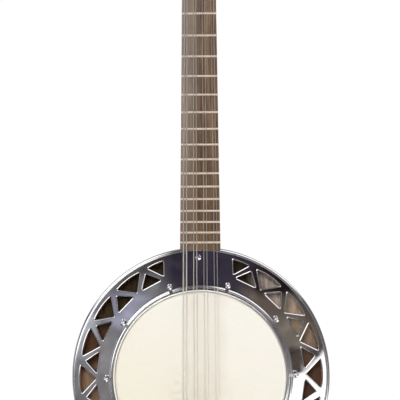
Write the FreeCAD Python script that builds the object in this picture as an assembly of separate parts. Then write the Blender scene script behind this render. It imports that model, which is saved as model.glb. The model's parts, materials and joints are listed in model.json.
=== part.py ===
"""Eight-string mandolin-banjo, modelled as separate pieces.

Frame: millimetres, +Z up along the neck, the head faces -Y, +X is the treble side seen from the front.
The origin is the centre of the resonator's flat back, on the axis of the pot. Depths (d) are heights above
that back, so a depth d lies at y = -d. The neck and the headstock have frames of their own: u or v runs up
the neck, h is the height towards the front, and both are tilted back into the row frame by placements.
"""
import FreeCAD
import Part
import math
import os

V = FreeCAD.Vector
AXIS_X = V(1, 0, 0)
AXIS_Y = V(0, 1, 0)
AXIS_Z = V(0, 0, 1)
FRONT = V(0, -1, 0)

# --- Driving dimensions -------------------------------------------------------------------------------
scale_length = 355.0        # nut to bridge
fret_count = 16
course_count = 4            # pairs of strings
hook_count = 10
node_pitch_deg = 18.0       # the flange's zigzag repeats every 18 degrees
flange_turn_deg = 1.1       # the flange and its hooks sit slightly turned round the pot

# Resonator
body_r = 109.0
wall_t = 4.0
back_t = 4.0
back_flat_r = 62.0
back_edge_d = 6.5           # the back is domed by this much between its flat and its edge
side_back_d = 9.0
block_half_w = 17.0
flange_d = 44.0             # underside of the flange plate, top of the side wall
flange_t = 1.5
bead_r = 1.4                # rolled bead round the flange's edge

# Pot
rim_r = 72.0
rim_t = 8.5
rim_back_d = 12.0
rim_front_d = 53.0
tone_ring_h = 5.4
crown_r = 2.0               # rounded crown of the tone ring
head_t = 0.35
head_gap = 0.06
hoop_in_r = 72.85
hoop_groove_in_r = 74.3     # the groove that the hooks' claws drop into
hoop_skirt_r = 75.2         # inside of the outer skirt, and the groove's outer side
hoop_out_r = 77.9
hoop_top_d = 57.0
hoop_skirt_d = 56.4         # top of the outer skirt, a little lower than the inner wall
hoop_groove_d = 54.6
hook_notch_d = 54.9         # floor of the notches that the hooks' arms lie in
hook_r = 80.4               # radius of the circle of hooks
hook_rod_r = 1.8
hook_ball_r = 2.2
hook_arm_w = 2.6
ledge_r = 75.8              # bead on the rim that holds the flange down

# Flange openings
outer_edge_r = 102.3
outer_apex_r = 89.8
outer_half_deg = 6.7
outer_bow = 0.7             # how far the outer side of an opening bows past its corners
inner_edge_r = 88.8
inner_apex_r = 98.4
inner_half_deg = 5.75
solid_half_x = 29.8         # the plate is left solid this far each side of the neck and the tail
corner_r = 0.4
edge_roll_r = 1.1
flange_screw_r = 101.0

# Neck and headstock
neck_tilt_deg = 2.5
board_end_z = 107.9
board_t = 4.5
board_end_w = 34.2
board_nut_w = 28.5
board_past_fret = 6.3
board_edge_r = 0.5
action_nut = 1.4            # string height above the board at the nut
string_rise = 0.00844       # string rise per millimetre of board
nut_t = 4.0
heel_len = 66.0             # from the body to where the heel has swept up into the shaft
heel_depth_body = 43.0
shaft_depth = 16.4
shaft_depth_nut = 15.0
head_tilt_deg = 10.0
head_len = 136.0
head_thick = 14.0
veneer_t = 1.2
head_corner_r = 1.0
head_back_edge_r = 1.5
head_front_edge_r = 0.5
head_drop = 3.0             # the headstock's face at the nut is this far below the top of the board

# Strings
course_pitch_nut = 7.4
course_pitch_bridge = 9.3
course_pitch_tail = 7.0
pair_gap_nut = 2.1
pair_gap_bridge = 2.9
pair_gap_tail = 2.9
string_d = [1.00, 0.66, 0.41, 0.28]     # one per course, bass side first
bridge_h = 11.0

# Tuning machines
tuner_first_v = 36.0
tuner_pitch = 23.0
post_x = 20.0
post_r = 3.0
post_top_r = 2.5
post_string_h = 6.0
gear_teeth = 14
gear_r = 4.8
gear_t = 2.4
worm_r = 2.2
worm_tip = 0.4
worm_root = 0.6
gear_tip = 0.45
gear_root = 0.6
plate_t = 1.2
gear_mid_h = -18.3
journal_r = 1.3
journal_gap = 0.07

# Tailpiece
tail_half_w = 15.0
tail_t = 1.2
tail_gap = 0.8              # the leg stands off the side wall to clear the flange's bead
tail_top_d = 65.0
tail_pin_z = -86.0
tail_pin_d = 67.4
tail_hook_z = -68.0
tail_braze_z = -99.0        # where the bent leg is brazed to the plate
rod_d = 28.0                # depth of the coordinator rod

# --- Worked out from them -----------------------------------------------------------------------------
rim_in_r = rim_r - rim_t
crown_d = rim_front_d + tone_ring_h - crown_r
head_top_d = crown_d + crown_r + head_gap + head_t
bridge_top_d = head_top_d + bridge_h
last_fret = scale_length * (1 - 2 ** (-fret_count / 12))
board_len = last_fret + board_past_fret
tilt = math.radians(neck_tilt_deg)
bridge_z = board_end_z - (scale_length - board_len) * math.cos(tilt)
string_h_bridge = action_nut + string_rise * scale_length
board_top_d = bridge_top_d - string_h_bridge - (scale_length - board_len) * math.tan(tilt)
worm_pitch = 2 * math.pi * gear_r / gear_teeth
worm_offset = gear_r + worm_r
lead_tan = worm_pitch / (2 * math.pi * worm_r)
rod_end_z = rim_in_r - 4.9  # the coordinator rod ends here, with the neck's nut beyond it


# --- Helpers ------------------------------------------------------------------------------------------
def fused(shapes):
    """One solid from several that touch or overlap."""
    whole = shapes[0].fuse(list(shapes[1:])) if len(shapes) > 1 else shapes[0]
    return whole.removeSplitter()


def wire(place, start, steps):
    """A closed wire. Each step is (end,) for a line or (middle, end) for an arc, put in space by place."""
    edges = []
    here = start
    for step in steps + [(start,)]:
        end = step[-1]
        if place(*here).distanceToPoint(place(*end)) < 1e-7:
            continue
        if len(step) == 1:
            edges.append(Part.LineSegment(place(*here), place(*end)).toShape())
        else:
            edges.append(Part.Arc(place(*here), place(*step[0]), place(*end)).toShape())
        here = end
    return Part.Wire(edges)


def turned(start, steps):
    """A solid of revolution about the pot's axis, from a profile of (radius, depth)."""
    face = Part.Face(wire(lambda r, d: V(r, -d, 0), start, steps))
    return face.revolve(V(0, 0, 0), AXIS_Y, 360)


def ring(r_in, r_out, d0, d1):
    outer = Part.makeCylinder(r_out, d1 - d0, V(0, -d0, 0), FRONT)
    return outer.cut(Part.makeCylinder(r_in, d1 - d0, V(0, -d0, 0), FRONT))


def disc(r, d0, d1):
    return Part.makeCylinder(r, d1 - d0, V(0, -d0, 0), FRONT)


def box(x0, x1, y0, y1, z0, z1):
    return Part.makeBox(x1 - x0, y1 - y0, z1 - z0, V(x0, y0, z0))


def rod(r, p, q):
    """A cylinder of radius r from point p to point q."""
    return Part.makeCylinder(r, (q - p).Length, p, q - p)


def polar(r, angle_deg, d):
    """A point at radius r, angle_deg clockwise from the neck as seen from the front."""
    a = math.radians(angle_deg)
    return V(r * math.sin(a), -d, r * math.cos(a))


def spun(shape, angle_deg):
    """A copy turned clockwise round the pot, as seen from the front."""
    copy = shape.copy()
    copy.rotate(V(0, 0, 0), AXIS_Y, angle_deg)
    return copy


def hexagon(across_flats, h, base, direction):
    corner = across_flats / math.sqrt(3)
    turns = [k * math.pi / 3 for k in range(7)]
    points = [V(corner * math.cos(t), corner * math.sin(t), 0) for t in turns]
    prism = Part.Face(Part.makePolygon(points)).extrude(V(0, 0, h))
    prism.Placement = FreeCAD.Placement(base, FreeCAD.Rotation(AXIS_Z, direction))
    return prism


neck_place = FreeCAD.Placement(V(0, -board_top_d, board_end_z), FreeCAD.Rotation(AXIS_X, -neck_tilt_deg))
head_place = neck_place.multiply(
    FreeCAD.Placement(V(0, head_drop, board_len + nut_t), FreeCAD.Rotation(AXIS_X, -head_tilt_deg))
)


def on_neck(shape):
    return shape.transformed(neck_place.toMatrix())


def on_head(shape):
    return shape.transformed(head_place.toMatrix())


def neck_point(x, u, h):
    return neck_place.multVec(V(x, -h, u))


def head_point(x, v, h):
    return head_place.multVec(V(x, -h, v))


# --- Resonator ----------------------------------------------------------------------------------------
def resonator_back():
    inner_r = body_r - wall_t
    return turned(
        (0, 0),
        [
            ((back_flat_r, 0),),
            ((85.0, 1.6), (inner_r, back_edge_d)),
            ((inner_r, back_edge_d + back_t),),
            ((85.0, 1.6 + back_t), (back_flat_r, back_t)),
            ((0, back_t),),
        ],
    )


def back_binding():
    inner_r = body_r - wall_t
    r = 1.6
    d0 = back_edge_d
    return turned(
        (inner_r, d0),
        [
            ((body_r - r, d0),),
            ((body_r - r * (1 - math.sqrt(0.5)), d0 + r * (1 - math.sqrt(0.5))), (body_r, d0 + r)),
            ((body_r, side_back_d),),
            ((inner_r, side_back_d),),
        ],
    )


def bolt_hole(z0, z1, r):
    return rod(r, V(0, -rod_d, z0), V(0, -rod_d, z1))


def resonator_side():
    side = ring(body_r - wall_t, body_r, side_back_d, flange_d)
    return side.cut(bolt_hole(95, 120, 3.05)).cut(bolt_hole(-120, -95, 3.05))


def block(angle_deg):
    """A wooden block between the rim and the side wall, at the neck (0) or at the tail (180)."""
    blank = box(-block_half_w, block_half_w, -(flange_d - 0.02), -(back_edge_d + back_t + 0.2), 60.0, 110.0)
    blank = blank.common(ring(rim_r + 0.05, body_r - wall_t, 0, 60))
    blank = blank.cut(bolt_hole(60, 120, 3.05))
    return spun(blank, angle_deg).cut(screw_hole(angle_deg))


def screw_hole(angle_deg):
    """Room for a flange screw, in the block it goes into."""
    bottom = polar(flange_screw_r, angle_deg - flange_turn_deg, flange_d - 12)
    top = polar(flange_screw_r, angle_deg - flange_turn_deg, flange_d + flange_t + 0.2)
    return rod(1.45, bottom, top)


def resonator_lining():
    """Two curved strips inside the side wall, between the blocks, that carry the flange's edge."""
    lining = ring(outer_edge_r + 0.3, body_r - wall_t, flange_d - 6, flange_d)
    half = block_half_w + 0.05
    return lining.cut(box(-half, half, -60, 0, -120, 120)).Solids


# --- Pot ----------------------------------------------------------------------------------------------
def rim_shell():
    ledge_d = flange_d + flange_t + 0.1
    shell = turned(
        (rim_in_r, rim_back_d),
        [
            ((rim_r, rim_back_d),),
            ((rim_r, ledge_d),),
            ((ledge_r, ledge_d),),
            ((ledge_r + 0.5, ledge_d + 1.0), (ledge_r, ledge_d + 2.0)),
            ((rim_r, ledge_d + 2.0),),
            ((rim_r, rim_front_d),),
            ((rim_in_r, rim_front_d),),
        ],
    )
    return shell.cut(bolt_hole(-90, 90, 3.05))


def tone_ring():
    """A turned ring with a rounded crown that the head bears on."""
    c = crown_r
    s = c * math.sqrt(0.5)
    centre = rim_r - c
    return turned(
        (64.6, rim_front_d),
        [
            ((rim_r, rim_front_d),),
            ((rim_r, crown_d),),
            ((centre + s, crown_d + s), (centre, crown_d + c)),
            ((65.8, crown_d + c - 0.9),),
            ((64.6, rim_front_d + 1.5),),
        ],
    )


def drum_head():
    """The thin head: flat across the pot, over the crown, and down to the flesh hoop."""
    centre = rim_r - crown_r
    a = crown_r + head_gap
    b = a + head_t
    s = math.sqrt(0.5)
    foot = rim_front_d - 2.4
    return turned(
        (0, crown_d + a),
        [
            ((centre, crown_d + a),),
            ((centre + a * s, crown_d + a * s), (centre + a, crown_d)),
            ((centre + a, foot),),
            ((centre + b, foot),),
            ((centre + b, crown_d),),
            ((centre + b * s, crown_d + b * s), (centre, crown_d + b)),
            ((0, crown_d + b),),
        ],
    )


def flesh_hoop():
    skin_r = rim_r + head_gap + head_t
    return ring(skin_r + 0.04, hoop_skirt_r - 0.2, rim_front_d - 2.4, rim_front_d + 0.6)


def tension_hoop():
    """Hoop with a round-topped skirt and inner wall, a groove between them, and a notch for each hook."""
    seat = rim_front_d + 0.65
    skirt_mid = (hoop_skirt_r + hoop_out_r) / 2
    skirt_round = (hoop_out_r - hoop_skirt_r) / 2
    wall_mid = (hoop_in_r + hoop_groove_in_r) / 2
    wall_round = (hoop_groove_in_r - hoop_in_r) / 2
    hoop = turned(
        (hoop_skirt_r, rim_front_d - 2.0),
        [
            ((hoop_out_r, rim_front_d - 2.0),),
            ((hoop_out_r, hoop_skirt_d - skirt_round),),
            ((skirt_mid, hoop_skirt_d), (hoop_skirt_r, hoop_skirt_d - skirt_round)),
            ((hoop_skirt_r, hoop_groove_d),),
            ((hoop_groove_in_r, hoop_groove_d),),
            ((hoop_groove_in_r, hoop_top_d - wall_round),),
            ((wall_mid, hoop_top_d), (hoop_in_r, hoop_top_d - wall_round)),
            ((hoop_in_r, seat),),
            ((hoop_skirt_r, seat),),
        ],
    )
    half = hook_arm_w / 2 + 0.08
    notch = box(-half, half, -(hoop_top_d + 1), -hook_notch_d, hoop_skirt_r - 0.3, hoop_out_r + 1)
    return hoop.cut([spun(notch, a) for a in hook_angles()])


def hook():
    """One hook, at the top of the pot: rod, ball where it bends, arm in its notch, claw in the groove."""
    arm_d = hook_notch_d + 0.05
    half = hook_arm_w / 2
    claw_in = hoop_groove_in_r + 0.12
    parts = [
        rod(hook_rod_r, V(0, -28, hook_r), V(0, -(arm_d + 1.4), hook_r)),
        Part.makeSphere(hook_ball_r, V(0, -(arm_d + 1.4), hook_r)),
        box(-half, half, -(hoop_skirt_d + 0.15), -arm_d, claw_in, hook_r),
        box(-half, half, -(arm_d + 0.5), -(hoop_groove_d + 0.08), claw_in, hoop_skirt_r - 0.12),
    ]
    return fused(parts)


def hook_angles():
    step = 360.0 / hook_count
    return [step / 2 + step * k - flange_turn_deg for k in range(hook_count)]


def hook_nut():
    nut = hexagon(7.0, 7.5, V(0, -34, hook_r), FRONT)
    return nut.cut(rod(hook_rod_r + 0.04, V(0, -30, hook_r), V(0, -45, hook_r)))


def hook_washer():
    disk = rod(4.6, V(0, -(flange_d - 1.3), hook_r), V(0, -(flange_d - 0.05), hook_r))
    return disk.cut(rod(hook_rod_r + 0.15, V(0, -40, hook_r), V(0, -46, hook_r)))


def opening(corners, arc_edge):
    """A cutter through the plate, from its corners as (radius, angle). arc_edge bows the first side."""
    def place(r, a):
        return polar(r, a, flange_d - 1)

    first, second = corners[0], corners[1]
    steps = [((first[0] + outer_bow, (first[1] + second[1]) / 2), second)] if arc_edge else [(second,)]
    steps += [(c,) for c in corners[2:]]
    return Part.Face(wire(place, first, steps)).extrude(V(0, -(flange_t + 2), 0))


def rounded(cutter, r):
    edges = [e for e in cutter.Edges if abs(e.tangentAt(e.FirstParameter).y) > 0.99]
    return cutter.makeFillet(r, edges)


def flange_openings():
    """The zigzag: a triangle with its apex inwards at each node, and one with its apex outwards between."""
    cutters = []
    nodes = int(180 / node_pitch_deg)
    for side in (-1, 1):
        for k in range(1, nodes):
            a = side * k * node_pitch_deg
            cut = opening(
                [(outer_edge_r, a - outer_half_deg), (outer_edge_r, a + outer_half_deg), (outer_apex_r, a)],
                True,
            )
            if k in (1, nodes - 1):
                keep = box(solid_half_x, 120, -60, 0, -120, 120)
                cut = cut.common(keep if side > 0 else spun(keep, 180))
            cutters.append(rounded(cut, corner_r))
        for k in range(1, nodes - 1):
            a = side * (k + 0.5) * node_pitch_deg
            cut = opening(
                [(inner_edge_r, a - inner_half_deg), (inner_edge_r, a + inner_half_deg), (inner_apex_r, a)],
                False,
            )
            cutters.append(rounded(cut, corner_r))
    return cutters


def flange():
    """Plate with a rolled bead at its edge and rolled edges on the openings, turned to where it sits."""
    top = flange_d + flange_t
    plate = ring(rim_r + 0.4, body_r - 1.5, flange_d, top)
    cutters = flange_openings()
    plate = plate.cut(cutters)
    rolled = []
    for e in plate.Edges:
        middle = e.valueAt((e.FirstParameter + e.LastParameter) / 2)
        r = math.hypot(middle.x, middle.z)
        on_top = all(abs(v.Point.y + top) < 1e-4 for v in e.Vertexes) and abs(middle.y + top) < 1e-4
        if on_top and rim_r + 5 < r < body_r - 3:
            rolled.append(e)
    plate = plate.makeFillet(edge_roll_r, rolled)
    bead = Part.makeTorus(body_r - 0.9, bead_r, V(0, -(flange_d + bead_r), 0), AXIS_Y)
    plate = fused([plate, bead])
    holes = [plate_hole(2.1, hook_r, a + flange_turn_deg) for a in hook_angles()]
    holes += [plate_hole(1.6, flange_screw_r, a) for a in (0, 180)]
    return spun(plate.cut(holes), -flange_turn_deg)


def plate_hole(r, at_r, angle_deg):
    """A cutter for a round hole through the flange plate."""
    return rod(r, polar(at_r, angle_deg, flange_d - 1), polar(at_r, angle_deg, flange_d + flange_t + 1))


def flange_screw(angle_deg):
    """Round-headed slotted screw through the flange into a block."""
    top = flange_d + flange_t + 0.02
    place = polar(flange_screw_r, 0, 0)
    head = Part.makeSphere(3.2, V(0, -(top - 1.4), place.z))
    head = head.common(rod(2.6, V(0, -top, place.z), V(0, -(top + 3), place.z)))
    shank = rod(1.4, V(0, -(flange_d - 11), place.z), V(0, -(top + 0.1), place.z))
    slot = box(-3, 3, -(top + 3), -(top + 1.1), place.z - 0.3, place.z + 0.3)
    return spun(fused([head, shank]).cut(slot), angle_deg - flange_turn_deg)


# --- Neck ---------------------------------------------------------------------------------------------
def board_width(u):
    return board_end_w + (board_nut_w - board_end_w) * u / board_len


def fret_u(n):
    """Distance of fret n from the body end of the board."""
    return board_len - scale_length * (1 - 2 ** (-n / 12))


def neck_section(u, depth):
    """Flat under the fingerboard and half an ellipse behind it, at u along the neck."""
    half_w = board_width(min(u, board_len)) / 2
    turns = [math.pi * k / 12 for k in range(13)]
    curve = Part.BSplineCurve()
    curve.interpolate([V(half_w * math.cos(t), board_t + depth * math.sin(t), u) for t in turns])
    flat = Part.LineSegment(V(-half_w, board_t, u), V(half_w, board_t, u))
    return Part.Wire([curve.toShape(), flat.toShape()])


def heel_depth(u):
    """Depth of the wood behind the fingerboard: a deep heel that sweeps up into the shaft."""
    t = max(0.0, min(1.0, u / heel_len))
    return shaft_depth + (heel_depth_body - shaft_depth) * (1 - t) ** 2.2 * (1 + 1.1 * t)


def head_outline():
    """Right half of the headstock's outline as (x, v) steps, from the nut to the tip."""
    return [
        ((19.5, 7.0), (27.0, 15.0)),
        ((31.0, 21.0), (32.0, 28.0)),
        ((30.6, 74.0), (32.5, 118.0)),
        ((30.0, 126.0), (22.0, 127.0)),
        ((12.0, 128.5), (7.0, 133.0)),
        ((4.0, head_len - 0.6), (0.0, head_len)),
    ]


def head_blank(h0, h1):
    """The headstock's outline between two heights, in its own frame."""
    right = head_outline()
    start = (board_nut_w / 2, 0.0)
    points = [start] + [step[-1] for step in right]
    left = []
    for k in range(len(right) - 1, -1, -1):
        middle, end = right[k][0], points[k]
        left.append(((-middle[0], middle[1]), (-end[0], end[1])))
    outline = wire(lambda x, v: V(x, -h0, v), start, right + left)
    blank = Part.Face(outline).extrude(V(0, -(h1 - h0), 0))
    upright = [e for e in blank.Edges if abs(e.tangentAt(e.FirstParameter).y) > 0.99]
    return blank.makeFillet(head_corner_r, [e for e in upright if e.CenterOfMass.z > 0.5])


def eased(blank, h, r):
    """Rounds a headstock blank's edge at height h, all round except across the nut."""
    edges = [e for e in blank.Edges if abs(e.CenterOfMass.y + h) < 1e-6 and e.CenterOfMass.z > 0.5]
    return blank.makeFillet(r, edges)


def tuner_places():
    """(side, place from the nut) of the eight posts: up the bass side, then up the treble side."""
    return [(side, k) for side in (-1, 1) for k in range(4)]


def post_holes(r, h0, h1):
    """Cutters along every post, from height h0 to h1, in the headstock's frame."""
    places = [(side * post_x, tuner_first_v + k * tuner_pitch) for side, k in tuner_places()]
    return [rod(r, V(x, -h0, v), V(x, -h1, v)) for x, v in places]


def neck():
    stations = [-8] + [heel_len * k / 8 for k in range(9)]
    heel = Part.makeLoft([neck_section(u, heel_depth(u)) for u in stations], True, False)
    shaft_ends = [neck_section(heel_len, shaft_depth), neck_section(board_len + 18, shaft_depth_nut)]
    shaft = Part.makeLoft(shaft_ends, True, True)
    shaft = shaft.cut(head_in_neck(box(-60, 60, -40, veneer_t, -30, 60)))
    blade = head_in_neck(eased(head_blank(-head_thick, -veneer_t), -head_thick, head_back_edge_r))
    whole = on_neck(fused([heel, shaft, blade]))
    holes = [on_head(h) for h in post_holes(3.4, -head_thick - 1, 0) + post_holes(4.3, -5.05, 1)]
    holes += [on_head(h) for h in both_sides([plate_screw_hole(x, v) for x, v in plate_screw_places()])]
    seat = disc(body_r + 0.05, -20, 60)
    bead_room = ring(90, body_r + 0.9, flange_d - 0.4, flange_d + 2 * bead_r + 0.5)
    return whole.cut([seat, bead_room, bolt_hole(100, 124.5, 3.05)] + holes)


def head_in_neck(shape):
    """Moves a shape from the headstock's frame to the neck's."""
    return shape.transformed(neck_place.inverse().multiply(head_place).toMatrix())


def fingerboard():
    w0, w1 = board_end_w / 2, board_nut_w / 2
    points = [V(-w0, board_t, 0), V(w0, board_t, 0), V(w1, board_t, board_len), V(-w1, board_t, board_len)]
    board = Part.Face(Part.makePolygon(points + points[:1])).extrude(V(0, -board_t, 0))
    long_edges = [e for e in board.Edges if abs(e.CenterOfMass.y) < 1e-6 and abs(e.tangentAt(0).z) > 0.9]
    board = board.makeFillet(board_edge_r, long_edges)
    slots = [box(-20, 20, -1, 1.9, fret_u(n) - 0.25, fret_u(n) + 0.25) for n in range(1, fret_count + 1)]
    board = board.cut(slots)
    return on_neck(board)


def fret(n):
    u = fret_u(n)
    half = board_width(u) / 2 - 0.15
    crown = wire(lambda z, h: V(-half, -h, u + z), (-0.9, 0.02), [((0, 1.0), (0.9, 0.02))])
    tang = box(-half, half, -0.1, 1.8, u - 0.24, u + 0.24)
    return on_neck(fused([Part.Face(crown).extrude(V(2 * half, 0, 0)), tang]))


def nut(strings):
    """Bone nut between the board and the headstock, with a slot for each string."""
    w = board_nut_w / 2
    top = action_nut + 0.35
    thick = nut_t - 0.35
    side = wire(
        lambda u, h: V(-w, -h, board_len + 0.02 + u),
        (0, -board_t),
        [((0, top),), ((1.2, top),), ((thick, top - 1.6),), ((thick, -board_t),)],
    )
    blank = on_neck(Part.Face(side).extrude(V(2 * w, 0, 0)))
    return blank.cut(strings)


def headstock_veneer():
    sheet = eased(head_blank(-veneer_t, 0), 0, head_front_edge_r)
    holes = post_holes(4.4, -veneer_t - 1, 1)
    sheet = sheet.cut(holes)
    placed = on_head(sheet)
    return placed.cut(on_neck(box(-30, 30, -10, 20, board_len - 5, board_len + nut_t)))


def heel_bolt():
    return rod(3.0, V(0, -rod_d, rod_end_z - 6.6), V(0, -rod_d, 124))


def neck_nut():
    nut_piece = hexagon(10.0, 4.0, V(0, -rod_d, rod_end_z + 0.3), AXIS_Z)
    return nut_piece.cut(bolt_hole(50, 70, 3.04))


def coordinator_rod():
    """Joins the neck's bolt to the tail, across the inside of the pot."""
    bar = rod(5.0, V(0, -rod_d, -(rim_in_r - 0.5)), V(0, -rod_d, rod_end_z))
    stud = rod(3.0, V(0, -rod_d, -118.5), V(0, -rod_d, -(rim_in_r - 1)))
    return fused([bar, stud]).cut(bolt_hole(rod_end_z - 7.6, rod_end_z + 4, 3.04))


# --- Tailpiece, bridge and strings ----------------------------------------------------------------------
def tailpiece_strap():
    """The bent strap from the end pin, over the flange and the hoop, to the string hooks."""
    t = tail_t
    leg_z = -(body_r + tail_gap + t)
    side = wire(
        lambda z, d: V(-tail_half_w, -d, z),
        (leg_z, rod_d - 11),
        [
            ((leg_z, flange_d + 7),),
            ((leg_z + 1.8, flange_d + 12), (leg_z + 6.5, flange_d + 14)),
            ((-93, tail_top_d - 1.2),),
            ((-88, tail_top_d),),
            ((-60, tail_top_d),),
            ((-60, tail_top_d - t),),
            ((-88, tail_top_d - t),),
            ((-92.6, tail_top_d - 2.3),),
            ((leg_z + 7, flange_d + 12.8),),
            ((leg_z + 2.6, flange_d + 11), (leg_z + t, flange_d + 7)),
            ((leg_z + t, rod_d - 11),),
        ],
    )
    plate = Part.Face(side).extrude(V(2 * tail_half_w, 0, 0))
    waist = []
    for s in (-1, 1):
        shape = wire(
            lambda x, z: V(s * x, -80, z),
            (tail_half_w + 1, -89),
            [
                ((tail_half_w, -89),),
                ((11.5, -97), (10.0, -106)),
                ((10.0, -112.5),),
                ((tail_half_w + 1, -112.5),),
            ],
        )
        waist.append(Part.Face(shape).extrude(V(0, 80, 0)))
    return plate.cut(waist)


def tailpiece_leg():
    """The strap's bent lower end, brazed to the plate above it, with the pad that stands on the side wall."""
    pad = rod(7.0, V(0, -rod_d, -(body_r + tail_gap)), V(0, -rod_d, -(body_r + 0.02)))
    lower = box(-tail_half_w - 1, tail_half_w + 1, -80, 0, -120, tail_braze_z)
    return fused([tailpiece_strap().common(lower), pad]).cut(bolt_hole(-120, -100, 3.2))


def tailpiece_base():
    """The plate over the pot's edge, with the string hooks and the hinge lugs."""
    upper = box(-tail_half_w - 1, tail_half_w + 1, -80, 0, tail_braze_z, 0)
    low, high = -(tail_pin_d + 1.6), -(tail_top_d - 0.5)
    lugs = [box(x - 0.6, x + 0.6, low, high, tail_pin_z - 2, tail_pin_z + 2) for x in (-13.7, 13.7)]
    pegs = [
        rod(0.9, V(x, -(tail_top_d - 0.5), tail_hook_z), V(x, -(tail_top_d + 2.2), tail_hook_z))
        for x, _ in course_xs(course_pitch_tail, pair_gap_tail)
    ]
    plate = fused([tailpiece_strap().common(upper)] + lugs + pegs)
    return plate.cut(rod(0.8, V(-20, -tail_pin_d, tail_pin_z), V(20, -tail_pin_d, tail_pin_z)))


def tailpiece_pin():
    return rod(0.75, V(-14.4, -tail_pin_d, tail_pin_z), V(14.4, -tail_pin_d, tail_pin_z))


def tailpiece_cover():
    """Domed lid over the string hooks, with a rolled sleeve on the hinge pin. It opens forwards."""
    half = tail_half_w + 1.6
    top = tail_pin_d + 2.0
    front_z = -61.0
    outer = wire(
        lambda x, d: V(x, -d, tail_pin_z + 2.4),
        (-half, tail_top_d - 0.8),
        [
            ((-half, top - 1.5),),
            ((-half + 0.6, top), (-half + 2.2, top + 0.5)),
            ((0, top + 1.5), (half - 2.2, top + 0.5)),
            ((half - 0.6, top), (half, top - 1.5)),
            ((half, tail_top_d - 0.8),),
            ((half - 1.0, tail_top_d - 0.8),),
            ((half - 1.0, top - 1.4),),
            ((half - 1.4, top - 0.8), (half - 2.6, top - 0.5)),
            ((0, top + 0.5), (-half + 2.6, top - 0.5)),
            ((-half + 1.4, top - 0.8), (-half + 1.0, top - 1.4)),
            ((-half + 1.0, tail_top_d - 0.8),),
        ],
    )
    lid = Part.Face(outer).extrude(V(0, 0, front_z - tail_pin_z - 2.4))
    sleeve = rod(1.75, V(-12.6, -tail_pin_d, tail_pin_z), V(12.6, -tail_pin_d, tail_pin_z))
    tongue = box(-12.0, 12.0, -(top + 0.35), -(top - 0.6), tail_pin_z, tail_pin_z + 3)
    lid = fused([lid, sleeve, tongue])
    return lid.cut(rod(0.85, V(-20, -tail_pin_d, tail_pin_z), V(20, -tail_pin_d, tail_pin_z)))


def end_pin():
    """Strap button on the rod's end, which clamps the tailpiece's leg to the side wall."""
    z0 = -(body_r + tail_gap + tail_t + 0.02)
    profile = wire(
        lambda r, z: V(r, -rod_d, z),
        (0, z0),
        [
            ((7.5, z0),),
            ((7.5, z0 - 1.6),),
            ((4.4, z0 - 2.6),),
            ((4.0, z0 - 6.5), (5.2, z0 - 9.5)),
            ((6.8, z0 - 10.6), (6.2, z0 - 12.2)),
            ((5.0, z0 - 13.2), (3.0, z0 - 13.6)),
            ((0, z0 - 13.6),),
        ],
    )
    knob = Part.Face(profile).revolve(V(0, -rod_d, 0), AXIS_Z, 360)
    return knob.cut(bolt_hole(-119, -100, 3.04))


def course_xs(pitch, gap):
    """(x, diameter) of the eight strings where courses are pitch apart and a pair's strings gap apart."""
    places = []
    for k in range(course_count):
        centre = (k - (course_count - 1) / 2) * pitch
        places += [(centre - gap / 2, string_d[k]), (centre + gap / 2, string_d[k])]
    return places


def bridge_xs():
    return course_xs(course_pitch_bridge, pair_gap_bridge)


def bridge_taper():
    """The wedge that the bridge is cut to: 7 mm thick at the feet and 2.4 mm at the top."""
    foot, top = head_top_d + 0.01, bridge_top_d + 1
    slopes = [((3.5, foot),), ((1.2, top),), ((-1.2, top),)]
    side = wire(lambda z, d: V(-30, -d, bridge_z + z), (-3.5, foot), slopes)
    return Part.Face(side).extrude(V(60, 0, 0))


def bridge_body():
    """Maple bridge on three feet."""
    foot = head_top_d + 0.01
    cap = bridge_top_d - 1.8
    half = 22.0
    outline = wire(
        lambda x, d: V(x, -d, bridge_z - 4),
        (-half, foot),
        [
            ((-half + 7, foot),),
            ((-half + 11, foot + 4.2), (-4, foot),),
            ((4, foot),),
            ((half - 11, foot + 4.2), (half - 7, foot)),
            ((half, foot),),
            ((half - 1.5, foot + 5), (half - 3.4, cap)),
            ((-half + 3.4, cap),),
            ((-half + 1.5, foot + 5), (-half, foot)),
        ],
    )
    return Part.Face(outline).extrude(V(0, 0, 8)).common(bridge_taper())


def bridge_cap(strings):
    """Ebony strip along the top of the bridge, notched for the strings."""
    cap = box(-18.6, 18.6, -(bridge_top_d + 0.35), -(bridge_top_d - 1.78), bridge_z - 4, bridge_z + 4)
    return cap.common(bridge_taper()).cut(strings)


def string_points(k):
    """Centreline of string k: tail hook, bridge, nut, and where it meets its post."""
    xb, dia = bridge_xs()[k]
    xn, _ = course_xs(course_pitch_nut, pair_gap_nut)[k]
    xt, _ = course_xs(course_pitch_tail, pair_gap_tail)[k]
    tail = V(xt, -(tail_top_d + 1.1), tail_hook_z + 0.9 + dia / 2 + 0.05)
    bridge = V(xb, -(bridge_top_d + dia / 2), bridge_z)
    at_nut = neck_point(xn, board_len + 0.6, action_nut + dia / 2)
    side = -1 if k < 4 else 1
    order = k if k < 4 else 7 - k
    v = tuner_first_v + order * tuner_pitch
    centre_x = side * post_x
    clear = post_top_r + dia / 2 + 0.1
    start = head_place.inverse().multVec(at_nut)
    dx, dv = centre_x - start.x, v - start.z
    dist = math.hypot(dx, dv)
    heading = math.atan2(dx, dv)
    swing = math.asin(clear / dist)
    length = math.sqrt(dist ** 2 - clear ** 2)
    run = heading - side * swing
    end = head_point(start.x + length * math.sin(run), start.z + length * math.cos(run), post_string_h)
    return [tail, bridge, at_nut, end], dia


def string(k, grow=0.0):
    points, dia = string_points(k)
    r = dia / 2 + grow
    pieces = [rod(r, p, q) for p, q in zip(points, points[1:])]
    pieces += [Part.makeSphere(r, p) for p in points[1:-1]]
    return fused(pieces)


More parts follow.
